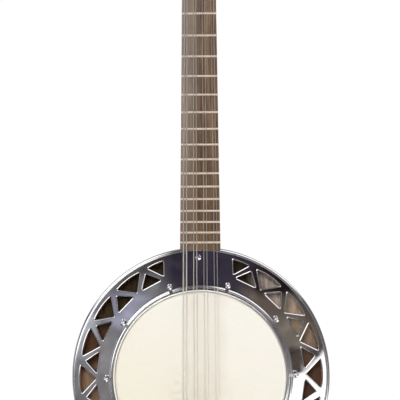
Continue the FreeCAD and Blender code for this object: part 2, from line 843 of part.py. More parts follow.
# --- Tuning machines ------------------------------------------------------------------------------------
def gear_profile(turn_deg, y):
    """A closed polygon of trapezoid teeth at height y, turned about the post."""
    tip, root = gear_r + gear_tip, gear_r - gear_root
    half_pitch = 0.18 * worm_pitch / gear_r
    half_tip, half_root = half_pitch * 0.62, half_pitch * 1.45
    points = []
    for k in range(gear_teeth):
        mid = 2 * math.pi * (k + 0.5) / gear_teeth + math.radians(turn_deg)
        for r, off in ((root, -half_root), (tip, -half_tip), (tip, half_tip), (root, half_root)):
            points.append(V(r * math.sin(mid + off), y, r * math.cos(mid + off)))
    return Part.makePolygon(points + points[:1])


def gear():
    """Worm wheel round the local Y axis, with a gap facing +Z. Its teeth slant by the worm's lead angle."""
    half = gear_t / 2
    slant = math.degrees(lead_tan * half / gear_r)
    y = -gear_mid_h
    wheel = Part.makeLoft([gear_profile(-slant, y - half), gear_profile(slant, y + half)], True, True)
    return wheel.cut(rod(2.2, V(0, y - 5, 0), V(0, y + 5, 0)))


def post():
    """String post: its collar bears on the plate, and the wheel sits on its squared-off tail."""
    back = -gear_mid_h + gear_t / 2
    profile = wire(
        lambda r, y: V(r, y, 0),
        (0, -12.0),
        [
            ((2.3, -12.0),),
            ((2.9, -11.6), (2.9, -10.6)),
            ((post_top_r, -9.0),),
            ((post_top_r, -4.0),),
            ((post_r, -2.4),),
            ((post_r, head_thick + plate_t + 0.1),),
            ((4.0, head_thick + plate_t + 0.1),),
            ((4.0, back - gear_t - 0.02),),
            ((2.18, back - gear_t - 0.02),),
            ((2.18, back + 0.1),),
            ((3.1, back + 0.1),),
            ((2.4, back + 1.1), (0, back + 1.5)),
        ],
    )
    shaft = Part.Face(profile).revolve(V(0, 0, 0), AXIS_Y, 360)
    hole = rod(0.7, V(-5, -post_string_h, 0), V(5, -post_string_h, 0))
    slot = box(-3.5, 3.5, back + 0.9, back + 2, -0.35, 0.35)
    return shaft.cut([hole, slot])


def worm():
    """Worm and key shaft along +X. It is turned so that a crest faces the wheel's gap."""
    z, y = worm_offset, -gear_mid_h
    root = worm_r - worm_root
    core = [
        rod(root, V(-5.0, y, z), V(5.2, y, z)),
        rod(journal_r, V(-7.6, y, z), V(-4.9, y, z)),
        rod(journal_r, V(5.1, y, z), V(7.1, y, z)),
        rod(1.9, V(-8.4, y, z), V(-7.5, y, z)),
        rod(1.9, V(7.05, y, z), V(8.2, y, z)),
        rod(1.5, V(8.1, y, z), V(25.0, y, z)),
    ]
    turns = 3
    helix = Part.makeHelix(worm_pitch, worm_pitch * turns, root)
    inner_half, outer_half = 0.26 * worm_pitch, 0.10 * worm_pitch
    tip = worm_r + worm_tip
    inner = root - 0.15
    section = [(inner, -inner_half), (tip, -outer_half), (tip, outer_half), (inner, inner_half)]
    corners = [V(r, 0, along) for r, along in section]
    tooth = Part.makePolygon(corners + corners[:1])
    thread = Part.Wire(helix).makePipeShell([tooth], True, True)
    start = V(-worm_pitch * turns / 2, y, z)
    thread = thread.transformed(FreeCAD.Placement(start, FreeCAD.Rotation(AXIS_Y, 90)).toMatrix())
    thread.rotate(V(0, y, z), AXIS_X, 180)
    return fused(core + [thread])


def key_button():
    """Oval button on a collar, pressed on the key shaft's end."""
    z, y = worm_offset, -gear_mid_h
    thick, half_v, half_x = 6.0, 7.4, 5.4
    centre = V(23.4, y - thick / 2, z)
    oval = Part.Ellipse(centre + V(0, 0, half_v), centre + V(half_x, 0, 0), centre).toShape()
    knob = Part.Face(Part.Wire([oval])).extrude(V(0, thick, 0))
    rims = [e for e in knob.Edges if e.BoundBox.YLength < 1e-4]
    knob = knob.makeFillet(2.2, rims)
    collar = rod(2.5, V(16.6, y, z), V(20.0, y, z))
    return fused([knob, collar]).cut(rod(1.5, V(16, y, z), V(25.0, y, z)))


def tuner_plate():
    """Strip behind the headstock for the treble side, with an ear at each end of every worm."""
    y0, y1 = head_thick, head_thick + plate_t
    v0, v1 = tuner_first_v - 11, tuner_first_v + 3 * tuner_pitch + 15
    strip = box(10.0, 28.6, y0, y1, v0, v1)
    corners = [e for e in strip.Edges if abs(e.tangentAt(e.FirstParameter).y) > 0.99]
    strip = strip.makeFillet(3.0, corners)
    ears = []
    for k in range(4):
        v = tuner_first_v + k * tuner_pitch + worm_offset
        for x in (post_x - 7.3, post_x + 5.4):
            ear = box(x, x + 1.5, y1 - 0.2, -gear_mid_h + 1.0, v - 2.6, v + 2.6)
            cap = rod(2.6, V(x, -gear_mid_h + 1.0, v), V(x + 1.5, -gear_mid_h + 1.0, v))
            ears.append(fused([ear, cap]))
    strip = fused([strip] + ears)
    cutters = [rod(1.3, V(x, y0 - 1, v), V(x, y1 + 1, v)) for x, v in plate_screw_places()]
    for k in range(4):
        v = tuner_first_v + k * tuner_pitch
        y, vw = -gear_mid_h, v + worm_offset
        cutters.append(rod(post_r + 0.3, V(post_x, y0 - 1, v), V(post_x, y1 + 1, v)))
        cutters.append(rod(journal_r + journal_gap, V(5, y, vw), V(35, y, vw)))
    return strip.cut(cutters)


def plate_screw_places():
    """(x, v) of the screws that hold the treble side's strip."""
    first, last = tuner_first_v - 8, tuner_first_v + 3 * tuner_pitch + 12.5
    middle = [(12.6, tuner_first_v + k * tuner_pitch) for k in (0.8, 1.8)]
    return [(post_x, first)] + middle + [(post_x, last)]


def plate_screw_hole(x, v):
    return rod(1.25, V(x, head_thick - 8, v), V(x, head_thick + 1, v))


def plate_screw(x, v):
    y = head_thick + plate_t
    head = Part.makeSphere(2.6, V(x, y - 1.1, v)).common(rod(2.2, V(x, y + 0.01, v), V(x, y + 3, v)))
    shank = rod(1.2, V(x, head_thick - 7, v), V(x, y + 0.1, v))
    slot = box(x - 3, x + 3, y + 0.9, y + 3, v - 0.25, v + 0.25)
    return fused([head, shank]).cut(slot)


def bushing(x, v):
    """Pressed ferrule that guides a post at the front of the headstock."""
    body = rod(4.3, V(x, 5.0, v), V(x, 0.0, v))
    flare = rod(5.2, V(x, 0.0, v), V(x, -1.2, v))
    return fused([body, flare]).cut(rod(post_r + 0.06, V(x, 6, v), V(x, -3, v)))


def across(shape):
    """The same piece on the bass side: turned half round about the middle of the tuners."""
    copy = shape.copy()
    copy.rotate(V(0, 0, tuner_first_v + 1.5 * tuner_pitch), AXIS_Y, 180)
    return copy


def both_sides(shapes):
    return shapes + [across(s) for s in shapes]


def tuner_piece(shape, side, k):
    """A tuner's piece, made round a post at the origin, moved to post k (from the nut) on one side."""
    slot = k if side > 0 else 3 - k
    copy = shape.copy()
    copy.translate(V(post_x, 0, tuner_first_v + slot * tuner_pitch))
    return on_head(copy if side > 0 else across(copy))


# --- Build ----------------------------------------------------------------------------------------------
def tuner_nodes():
    """The tuning machines, eight of each turning piece, and their fixed plates, ferrules and screws."""
    nodes = {}
    wheel, stem, screw, knob = gear(), post(), worm(), key_button()
    for n, (side, k) in enumerate(tuner_places(), 1):
        nodes[f"string_post_{n}"] = [tuner_piece(s, side, k) for s in (stem, wheel)]
        nodes[f"worm_shaft_{n}"] = [tuner_piece(screw, side, k)]
        nodes[f"tuner_button_{n}"] = [tuner_piece(knob, side, k)]
    screws = [plate_screw(x, v) for x, v in plate_screw_places()]
    ferrules = [bushing(post_x, tuner_first_v + k * tuner_pitch) for k in range(4)]
    nodes["tuner_plates"] = [on_head(s) for s in both_sides([tuner_plate()])]
    nodes["tuner_plate_screws"] = [on_head(s) for s in both_sides(screws)]
    nodes["post_bushings"] = [on_head(s) for s in both_sides(ferrules)]
    return nodes


def build():
    nodes = {}
    nodes["resonator_back"] = [resonator_back()]
    nodes["back_binding"] = [back_binding()]
    nodes["resonator_side"] = [resonator_side()]
    nodes["resonator_lining"] = resonator_lining()
    nodes["neck_block"] = [block(0)]
    nodes["tail_block"] = [block(180)]
    nodes["rim_shell"] = [rim_shell()]
    nodes["tone_ring"] = [tone_ring()]
    nodes["drum_head"] = [drum_head()]
    nodes["flesh_hoop"] = [flesh_hoop()]
    nodes["tension_hoop"] = [tension_hoop()]
    nodes["tension_hooks"] = [spun(hook(), a) for a in hook_angles()]
    nodes["hook_nuts"] = [spun(hook_nut(), a) for a in hook_angles()]
    nodes["hook_washers"] = [spun(hook_washer(), a) for a in hook_angles()]
    nodes["flange"] = [flange()]
    nodes["flange_screws"] = [flange_screw(a) for a in (0, 180)]
    slots = [string(k, 0.04) for k in range(2 * course_count)]
    nodes["neck"] = [neck()]
    nodes["fingerboard"] = [fingerboard()]
    nodes["frets"] = [fret(n) for n in range(1, fret_count + 1)]
    nodes["nut"] = [nut(slots)]
    nodes["headstock_veneer"] = [headstock_veneer()]
    nodes["heel_bolt"] = [heel_bolt()]
    nodes["neck_nut"] = [neck_nut()]
    nodes["coordinator_rod"] = [coordinator_rod()]
    nodes["tailpiece_base"] = [tailpiece_base()]
    nodes["tailpiece_leg"] = [tailpiece_leg()]
    nodes["tailpiece_pin"] = [tailpiece_pin()]
    nodes["tailpiece_cover"] = [tailpiece_cover()]
    nodes["end_pin"] = [end_pin()]
    nodes["bridge"] = [bridge_body()]
    nodes["bridge_cap"] = [bridge_cap(slots)]
    nodes["wound_strings"] = [string(k) for k in range(0, 4)]
    nodes["plain_strings"] = [string(k) for k in range(4, 8)]
    nodes.update(tuner_nodes())
    return nodes


def main():
    os.makedirs("parts", exist_ok=True)
    for name, solids in build().items():
        shape = solids[0] if len(solids) == 1 else Part.makeCompound(solids)
        shape.exportStep(f"parts/{name}.step")


main()
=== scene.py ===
"""Looks for the mandolin-banjo: materials, string windings and loops, and a plain studio round them."""

import json
import math

import bpy
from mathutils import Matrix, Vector


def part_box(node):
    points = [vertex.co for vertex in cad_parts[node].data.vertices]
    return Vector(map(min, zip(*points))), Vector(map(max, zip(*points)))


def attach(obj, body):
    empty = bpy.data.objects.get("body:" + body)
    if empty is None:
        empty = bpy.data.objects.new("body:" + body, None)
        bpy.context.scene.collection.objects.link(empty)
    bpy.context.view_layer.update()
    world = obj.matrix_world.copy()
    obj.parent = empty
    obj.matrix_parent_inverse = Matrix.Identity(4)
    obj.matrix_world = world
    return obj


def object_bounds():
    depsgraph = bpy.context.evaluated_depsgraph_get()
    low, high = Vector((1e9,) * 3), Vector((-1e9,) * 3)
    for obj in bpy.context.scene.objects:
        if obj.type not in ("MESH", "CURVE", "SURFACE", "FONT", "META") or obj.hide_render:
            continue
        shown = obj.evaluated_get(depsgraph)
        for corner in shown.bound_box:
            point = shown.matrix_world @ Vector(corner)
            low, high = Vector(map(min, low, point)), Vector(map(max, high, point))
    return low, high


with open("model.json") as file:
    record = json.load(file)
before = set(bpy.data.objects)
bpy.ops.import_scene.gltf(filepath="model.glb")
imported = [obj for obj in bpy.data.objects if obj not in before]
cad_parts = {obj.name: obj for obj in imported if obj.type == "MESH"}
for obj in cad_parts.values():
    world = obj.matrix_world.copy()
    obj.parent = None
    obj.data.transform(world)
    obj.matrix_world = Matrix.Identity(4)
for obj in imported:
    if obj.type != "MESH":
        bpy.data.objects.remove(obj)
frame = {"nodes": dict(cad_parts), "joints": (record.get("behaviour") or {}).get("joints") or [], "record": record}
cad_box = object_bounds()

MM = 0.001
FULL_TURN = 2 * math.pi
nodes = frame["nodes"]
joints = {j["name"]: j for j in frame["joints"]}
plate_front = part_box("flange")[0].y          # the frontmost depth of the flange
body_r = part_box("resonator_side")[1].x       # outer radius of the resonator's side wall
floor_z = cad_box[0].z
STRING_SETS = [("wound_strings", "string_wound"), ("plain_strings", "string_plain")]    # node and slot
HEAD_FADE = (78 * MM, 70 * MM)      # heights over which the strings' painted light fades in, as they pass from the plate to the head
SHADED_STAINED_WOOD = [            # inside the resonator, wood with a dark stain and painted shade, from its middle (0) to 100 mm above it (1)
    (0.30, (0.128, 0.063, 0.037)),
    (0.48, (0.15, 0.068, 0.036)),
    (0.62, (0.10, 0.060, 0.031)),
    (0.95, (0.055, 0.040, 0.021)),
]
PAINTED_LIT_WOOD = [               # painted light on the treble side, from 40 mm (0) to 90 mm (1) above the middle
    (0.10, (0.38, 0.265, 0.185)),
    (0.40, (0.53, 0.41, 0.285)),
    (0.62, (0.56, 0.43, 0.315)),
    (0.85, (0.74, 0.64, 0.60)),
    (1.00, (0.55, 0.46, 0.41)),
]


# --- Small node-tree helpers --------------------------------------------------------------------------
class Paint:
    """A material or world, and short ways to add nodes to it. Coordinates are the object's own, in metres."""

    def __init__(self, name, existing=None):
        self.mat = existing or bpy.data.materials.new(name)
        self.mat.use_nodes = True
        self.tree = self.mat.node_tree
        self.bsdf = self.tree.nodes.get("Principled BSDF")
        self.coords = self.tree.nodes.new("ShaderNodeTexCoord").outputs["Object"]

    def node(self, kind, **settings):
        made = self.tree.nodes.new("ShaderNode" + kind)
        for key, value in settings.items():
            setattr(made, key, value)
        return made

    def feed(self, socket, value):
        if isinstance(value, bpy.types.NodeSocket):
            self.tree.links.new(value, socket)
        else:
            socket.default_value = value

    def set(self, **values):
        """Base_Color=..., Roughness=... on the main shader."""
        for key, value in values.items():
            if key.endswith("Color") and not isinstance(value, bpy.types.NodeSocket):
                value = (*value, 1.0)
            self.feed(self.bsdf.inputs[key.replace("_", " ")], value)
        return self

    def scaled(self, scale, at=None, turn=(0, 0, 0)):
        made = self.node("Mapping")
        self.feed(made.inputs["Vector"], at or self.coords)
        made.inputs["Scale"].default_value = scale
        made.inputs["Rotation"].default_value = turn
        return made.outputs["Vector"]

    def noise(self, scale, detail=4.0, rough=0.55, distortion=0.0, at=None, turn=(0, 0, 0)):
        """Noise from 0 to 1. scale is a number or three numbers, in features per metre."""
        if isinstance(scale, (int, float)):
            scale = (scale, scale, scale)
        made = self.node("TexNoise")
        self.feed(made.inputs["Vector"], self.scaled(scale, at, turn))
        made.inputs["Scale"].default_value = 1.0
        made.inputs["Detail"].default_value = detail
        made.inputs["Roughness"].default_value = rough
        made.inputs["Distortion"].default_value = distortion
        return made.outputs["Fac"]

    def cells(self, scale):
        """Distance to the nearest of many scattered points; scale is in cells per metre."""
        made = self.node("TexVoronoi")
        self.feed(made.inputs["Vector"], self.scaled(scale))
        made.inputs["Scale"].default_value = 1.0
        return made.outputs["Distance"]

    def ramp(self, value, stops):
        """stops is a list of (position, colour or grey)."""
        made = self.node("ValToRGB")
        self.feed(made.inputs["Fac"], value)
        points = made.color_ramp.elements
        while len(points) < len(stops):
            points.new(0.5)
        for point, (place, colour) in zip(points, stops):
            point.position = place
            point.color = (colour, colour, colour, 1) if isinstance(colour, (int, float)) else (*colour, 1)
        return made.outputs["Color"]

    def spread(self, value, low, high, to_low, to_high):
        """Maps low..high to to_low..to_high, clamped."""
        made = self.node("MapRange")
        sockets = ("Value", "From Min", "From Max", "To Min", "To Max")
        for key, number in zip(sockets, (value, low, high, to_low, to_high)):
            self.feed(made.inputs[key], number)
        return made.outputs["Result"]

    def math(self, kind, a, b=0.0):
        made = self.node("Math", operation=kind)
        self.feed(made.inputs[0], a)
        self.feed(made.inputs[1], b)
        return made.outputs["Value"]

    def mix(self, how_much, a, b, kind="MIX"):
        made = self.node("Mix", data_type="RGBA", blend_type=kind)
        self.feed(made.inputs["Factor"], how_much)
        for socket, value in ((made.inputs[6], a), (made.inputs[7], b)):
            self.feed(socket, value if isinstance(value, bpy.types.NodeSocket) else (*value, 1.0))
        return made.outputs[2]

    def bump(self, height, depth_mm, under=None):
        """Surface relief. depth_mm is the height that a value of 1 stands for."""
        made = self.node("Bump")
        made.inputs["Strength"].default_value = 1.0
        made.inputs["Distance"].default_value = depth_mm * MM
        self.feed(made.inputs["Height"], height)
        if under is not None:
            self.feed(made.inputs["Normal"], under)
        return made.outputs["Normal"]

    def xyz(self, at=None):
        made = self.node("SeparateXYZ")
        self.feed(made.inputs["Vector"], at or self.coords)
        return made.outputs["X"], made.outputs["Y"], made.outputs["Z"]

    def vector(self, x, y, z):
        made = self.node("CombineXYZ")
        for socket, value in zip(made.inputs, (x, y, z)):
            self.feed(socket, value)
        return made.outputs["Vector"]

    def round_coords(self, radius):
        """Coordinates that run round the pot: distance round at that radius, depth, and radius."""
        x, y, z = self.xyz()
        angle = self.math("ARCTAN2", x, z)
        return self.vector(self.math("MULTIPLY", angle, radius), y, self.length(x, z))

    def length(self, a, b):
        """Length of the vector (a, b)."""
        return self.math("SQRT", self.math("ADD", self.math("MULTIPLY", a, a), self.math("MULTIPLY", b, b)))


# --- Materials ----------------------------------------------------------------------------------------
def wood(name, dark, light, gloss, along=(0, 0, 1), pores=0.5, coat=0.0):
    """Straight-grained wood. along is the axis that the grain runs in; pores is 0 to 1."""
    p = Paint(name)
    figure = 0.35               # share of the broad figure in the shade

    def lay(across, lengthwise):
        return tuple(lengthwise if a else across for a in along)

    broad = p.noise(lay(90, 6), 3, 0.5, 0.6)
    streaks = p.noise(lay(700, 14), 5, 0.6, 0.2)
    hair = p.noise(lay(2600, 40), 4, 0.65)
    shade = p.math("ADD", p.math("MULTIPLY", broad, figure), p.math("MULTIPLY", streaks, 1 - figure))
    shade = p.math("ADD", p.math("MULTIPLY", shade, 0.75), p.math("MULTIPLY", hair, 0.25))
    middle = tuple((a + b) / 2 for a, b in zip(dark, light))
    colour = p.ramp(shade, [(0.30, dark), (0.5, middle), (0.70, light)])
    specks = p.noise(lay(1900, 90), 2, 0.5)
    pore = p.spread(specks, 0.60, 0.70, 0.0, pores)
    colour = p.mix(pore, colour, tuple(c * 0.28 for c in dark))
    p.set(Base_Color=colour, Roughness=p.spread(shade, 0.3, 0.7, gloss + 0.10, gloss - 0.06))
    if coat:
        p.set(Coat_Weight=coat, Coat_Roughness=0.08)
    relief = p.math("SUBTRACT", p.math("MULTIPLY", hair, 0.4), pore)
    p.set(Normal=p.bump(relief, 0.05))
    return p.mat


def plating(name, tint, clean, worn, ripple, spots, scratch=0.006):
    """Bright plate with faint waviness, fine scratches, and dull freckles where it has tarnished.

    clean and worn are roughnesses, ripple and scratch are depths in millimetres, and spots is 0 to 1.
    """
    p = Paint(name)
    smear = p.noise(55, 5, 0.6, 0.8)
    freckle = p.cells((900, 900, 900))
    patches = p.noise(120, 3, 0.6)
    near_point = p.spread(freckle, 0.16, 0.05, 0.0, spots)
    spot = p.math("MULTIPLY", near_point, p.spread(patches, 0.52, 0.66, 0.0, 1.0))
    dulled = tuple(c * f for c, f in zip(tint, (0.86, 0.82, 0.78)))
    colour = p.mix(p.spread(smear, 0.45, 0.75, 0.0, 0.35), tint, dulled)
    colour = p.mix(spot, colour, (0.20, 0.16, 0.13))
    rough = p.math("ADD", p.spread(smear, 0.40, 0.72, clean, worn), p.math("MULTIPLY", spot, 0.35))
    p.set(Base_Color=colour, Metallic=1.0, Roughness=rough)
    lines = p.noise((2400, 60, 160), 3, 0.6, 0.4, turn=(0.2, 0.5, 0.9))
    cross = p.noise((140, 60, 2100), 3, 0.6, 0.4, turn=(0.4, 0.8, 0.2))
    fine = p.bump(p.math("ADD", lines, cross), scratch)
    p.set(Normal=p.bump(p.noise(38, 2, 0.4), ripple, fine))
    return p.mat


def hoop_plating(tint):
    """Bright plate, with a painted cream highlight along the edge of the hoop's inner wall except on the treble
    side.
    """
    p = Paint("hoop_plate", plating("hoop_plate", tint, clean=0.05, worn=0.16, ripple=0.02, spots=0.5))
    x, y, z = p.xyz()
    wall = p.spread(p.length(x, z), 73.9 * MM, 74.2 * MM, 1.0, 0.0)
    front = p.math("LESS_THAN", y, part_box("tension_hoop")[0].y + 0.9 * MM)
    across = p.math("ADD", x, p.math("MULTIPLY", p.noise(60, 3, 0.5), 10 * MM))
    bass = p.spread(across, 28 * MM, 44 * MM, 1.0, 0.0)
    # Painted cream highlight on the front edge of the inner wall, left off on the treble side.
    painted_light = p.math("MULTIPLY", bass, p.math("MULTIPLY", wall, front))
    plate = p.bsdf.inputs["Base Color"].links[0].from_socket
    p.set(Base_Color=p.mix(painted_light, plate, (0.95, 0.92, 0.83)), Metallic=p.math("SUBTRACT", 1.0, painted_light))
    return p.mat


def head_skin():
    """Cream head: cloudy, yellower towards the tail, finely grained, smudged near the bridge.

    The strip under the strings and just to their treble side, where the hand passes, is duller.
    """
    p = Paint("head_skin")
    x, _, z = p.xyz()
    cloud = p.noise(22, 4, 0.55, 0.5)
    towards_tail = p.math("ADD", p.math("MULTIPLY", x, -0.6), p.math("MULTIPLY", z, -1.0))
    warm = p.spread(towards_tail, -60 * MM, 75 * MM, 0.0, 1.0)
    colour = p.mix(warm, (0.86, 0.84, 0.77), (0.85, 0.79, 0.66))
    colour = p.mix(p.spread(cloud, 0.42, 0.70, 0.0, 0.30), colour, (0.87, 0.80, 0.72))
    fibres = p.noise((180, 10, 320), 5, 0.7, 1.4)
    colour = p.mix(p.spread(fibres, 0.52, 0.72, 0.0, 0.22), colour, (0.76, 0.70, 0.60))
    low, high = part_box("bridge")
    near = p.node("VectorMath", operation="DISTANCE")
    p.feed(near.inputs[0], p.coords)
    p.feed(near.inputs[1], tuple((low + high) / 2 + Vector((-4 * MM, 0.0, 9 * MM))))
    close_by = p.spread(near.outputs["Value"], 34 * MM, 12 * MM, 0.0, 1.0)
    smudge = p.math("MULTIPLY", close_by, p.spread(p.noise(95, 5, 0.7, 1.0), 0.48, 0.68, 0.0, 0.32))
    colour = p.mix(smudge, colour, (0.50, 0.43, 0.35))
    across = p.math("ADD", x, p.math("MULTIPLY", p.noise(60, 3, 0.5), 10 * MM))
    played = p.math("ABSOLUTE", p.math("SUBTRACT", across, 9 * MM))
    colour = p.mix(p.spread(played, 20 * MM, 11 * MM, 0.0, 0.55), colour, (0.75, 0.69, 0.61))
    p.set(Base_Color=colour, Roughness=p.spread(cloud, 0.3, 0.7, 0.52, 0.38), Subsurface_Weight=0.08)
    p.bsdf.inputs["Subsurface Radius"].default_value = (0.6, 0.4, 0.25)
    p.bsdf.inputs["Subsurface Scale"].default_value = 1.5 * MM
    p.set(Normal=p.bump(p.noise(1500, 3, 0.6), 0.012, p.bump(fibres, 0.03)))
    return p.mat


def fingerboard_wood():
    """Dry, open-grained board: warmer near the pot, with a painted grey sheen on the bass side towards the nut."""
    p = Paint("board_wood")
    x, _, z = p.xyz()
    streaks = p.noise((620, 620, 9), 5, 0.6, 0.25)
    broad = p.noise((150, 150, 5), 3, 0.5, 0.5)
    shade = p.math("ADD", p.math("MULTIPLY", streaks, 0.6), p.math("MULTIPLY", broad, 0.4))
    stops = [(0.36, (0.042, 0.024, 0.014)), (0.5, (0.130, 0.081, 0.050)), (0.64, (0.25, 0.168, 0.106))]
    colour = p.ramp(shade, stops)
    pore = p.spread(p.noise((1700, 1700, 110), 2, 0.5), 0.60, 0.68, 0.0, 0.75)
    colour = p.mix(pore, colour, (0.018, 0.012, 0.010))
    low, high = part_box("fingerboard")
    up = p.spread(z, low.z, high.z, 0.0, 1.0)
    colour = p.mix(p.math("SUBTRACT", 1.0, up), colour, (0.95, 0.88, 0.74), "MULTIPLY")
    # Painted grey sheen on the bass side, stronger towards the nut.
    side = p.math("ADD", x, p.math("MULTIPLY", p.noise((60, 60, 12), 3, 0.5), 10 * MM))
    bass = p.spread(side, 6 * MM, -12 * MM, 0.0, 1.0)
    worn = p.math("MULTIPLY", bass, p.spread(up, 0.0, 0.8, 0.18, 0.58))
    colour = p.mix(worn, colour, (0.40, 0.365, 0.355))
    p.set(Base_Color=colour, Roughness=p.spread(streaks, 0.3, 0.7, 0.58, 0.42))
    p.set(Normal=p.bump(p.math("SUBTRACT", p.math("MULTIPLY", streaks, 0.5), pore), 0.10))
    return p.mat


def machined(name, tint, rough, along=(300, 4000, 300), stain=(0.35, 0.25, 0.15), stained=0.25, metal=1.0):
    """Turned or cut metal with tool marks and a little staining. Less metal looks frosted by wear."""
    p = Paint(name)
    marks = p.noise(along, 4, 0.6)
    dirt = p.spread(p.noise(260, 5, 0.65, 0.6), 0.50, 0.72, 0.0, stained)
    p.set(Base_Color=p.mix(dirt, tint, stain), Metallic=metal)
    turned = p.spread(marks, 0.3, 0.7, rough - 0.07, rough + 0.10)
    p.set(Roughness=p.math("ADD", turned, p.math("MULTIPLY", dirt, 0.5)))
    p.set(Normal=p.bump(marks, 0.008))
    return p.mat


def wound_string():
    """Bronze winding: a fine ridge every 0.2 mm, with painted light over the head, and tarnished where fingers
    press.
    """
    p = Paint("string_wound")
    _, _, z = p.xyz()
    turn = p.math("SINE", p.math("MULTIPLY", z, FULL_TURN / (0.2 * MM)))
    tone = p.noise(400, 3, 0.6)
    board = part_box("fingerboard")[0].z
    fingered = p.spread(z, board - 5 * MM, board + 15 * MM, 0.0, 0.6)
    colour = p.mix(tone, (0.62, 0.60, 0.56), (0.48, 0.45, 0.41))
    # Painted light: the winding is painted paler where it passes over the bright head.
    colour = p.mix(p.spread(z, *HEAD_FADE, 0.0, 0.8), colour, (0.88, 0.85, 0.78))
    p.set(Base_Color=p.mix(fingered, colour, (0.36, 0.30, 0.235)), Metallic=0.6)
    p.set(Roughness=p.spread(tone, 0.3, 0.7, 0.32, 0.44), Normal=p.bump(turn, 0.02))
    return p.mat


def plain_string():
    """Plain steel wire, with painted light over the head."""
    steel = machined("string_plain", (0.66, 0.62, 0.60), rough=0.34, along=(2500, 2500, 60),
                     stain=(0.5, 0.42, 0.32), stained=0.15, metal=0.8)
    p = Paint("string_plain", steel)
    _, _, z = p.xyz()
    colour = p.bsdf.inputs["Base Color"].links[0].from_socket
    # Painted light: the wire is painted paler where it passes over the bright head.
    p.set(Base_Color=p.mix(p.spread(z, *HEAD_FADE, 0.0, 0.9), colour, (0.96, 0.93, 0.86)))
    return p.mat


def aged_plastic(name, base, veined, rough, grain):
    """Ivory-coloured plastic or bone with faint parallel veins."""
    p = Paint(name)
    veins = p.noise(grain, 4, 0.6, 0.4)
    colour = p.mix(p.spread(veins, 0.40, 0.66, 0.0, 0.8), base, veined)
    p.set(Base_Color=p.mix(p.spread(p.noise(160, 4, 0.6), 0.55, 0.75, 0.0, 0.3), colour, (0.55, 0.42, 0.24)))
    p.set(Roughness=p.spread(veins, 0.3, 0.7, rough - 0.05, rough + 0.08), Subsurface_Weight=0.12)
    p.bsdf.inputs["Subsurface Scale"].default_value = 2 * MM
    p.set(Coat_Weight=0.2, Coat_Roughness=0.12)
    p.set(Normal=p.bump(p.noise(700, 3, 0.5), 0.01))
    return p.mat


def lacquer():
    """Black headstock face: glossy, with slight orange peel, fine swirls and dulled patches."""
    p = Paint("veneer_black")
    haze = p.noise(70, 5, 0.6, 0.7)
    grain = p.noise((900, 900, 18), 4, 0.6)
    colour = p.mix(p.spread(grain, 0.4, 0.7, 0.0, 1.0), (0.010, 0.008, 0.008), (0.030, 0.022, 0.020))
    p.set(Base_Color=colour, Roughness=p.spread(haze, 0.38, 0.7, 0.16, 0.34))
    p.set(Coat_Weight=0.5, Coat_Roughness=0.07)
    p.set(Normal=p.bump(p.noise(420, 2, 0.4), 0.02, p.bump(grain, 0.015)))
    return p.mat


def veneer_back():
    """Polished reddish-brown veneer in two mirrored halves, with a ribbon figure across the grain."""
    p = Paint("resonator_veneer")
    x, y, z = p.xyz()
    mirrored = p.vector(p.math("ABSOLUTE", x), y, z)
    grain = p.noise((420, 420, 11), 5, 0.6, 0.35, mirrored)
    ribbon = p.noise((26, 26, 120), 3, 0.5, 1.2, mirrored)
    hair = p.noise((2400, 2400, 50), 3, 0.6, 0.0, mirrored)
    shade = p.math("ADD", p.math("MULTIPLY", grain, 0.62), p.math("MULTIPLY", ribbon, 0.38))
    shade = p.math("ADD", p.math("MULTIPLY", shade, 0.8), p.math("MULTIPLY", hair, 0.2))
    stops = [(0.34, (0.070, 0.018, 0.009)), (0.5, (0.165, 0.047, 0.020)), (0.66, (0.30, 0.105, 0.045))]
    colour = p.ramp(shade, stops)
    seam = p.spread(p.math("ABSOLUTE", x), 0.0, 0.35 * MM, 0.55, 0.0)
    colour = p.mix(seam, colour, (0.03, 0.01, 0.006))
    pore = p.spread(p.noise((1900, 1900, 90), 2, 0.5, 0.0, mirrored), 0.62, 0.70, 0.0, 0.6)
    colour = p.mix(pore, colour, (0.025, 0.010, 0.006))
    facing = p.xyz(p.node("TexCoord").outputs["Normal"])[1]
    inside = p.math("LESS_THAN", facing, -0.3)
    finish_resonator(p, colour, shade, pore, inside, grain)
    return p.mat


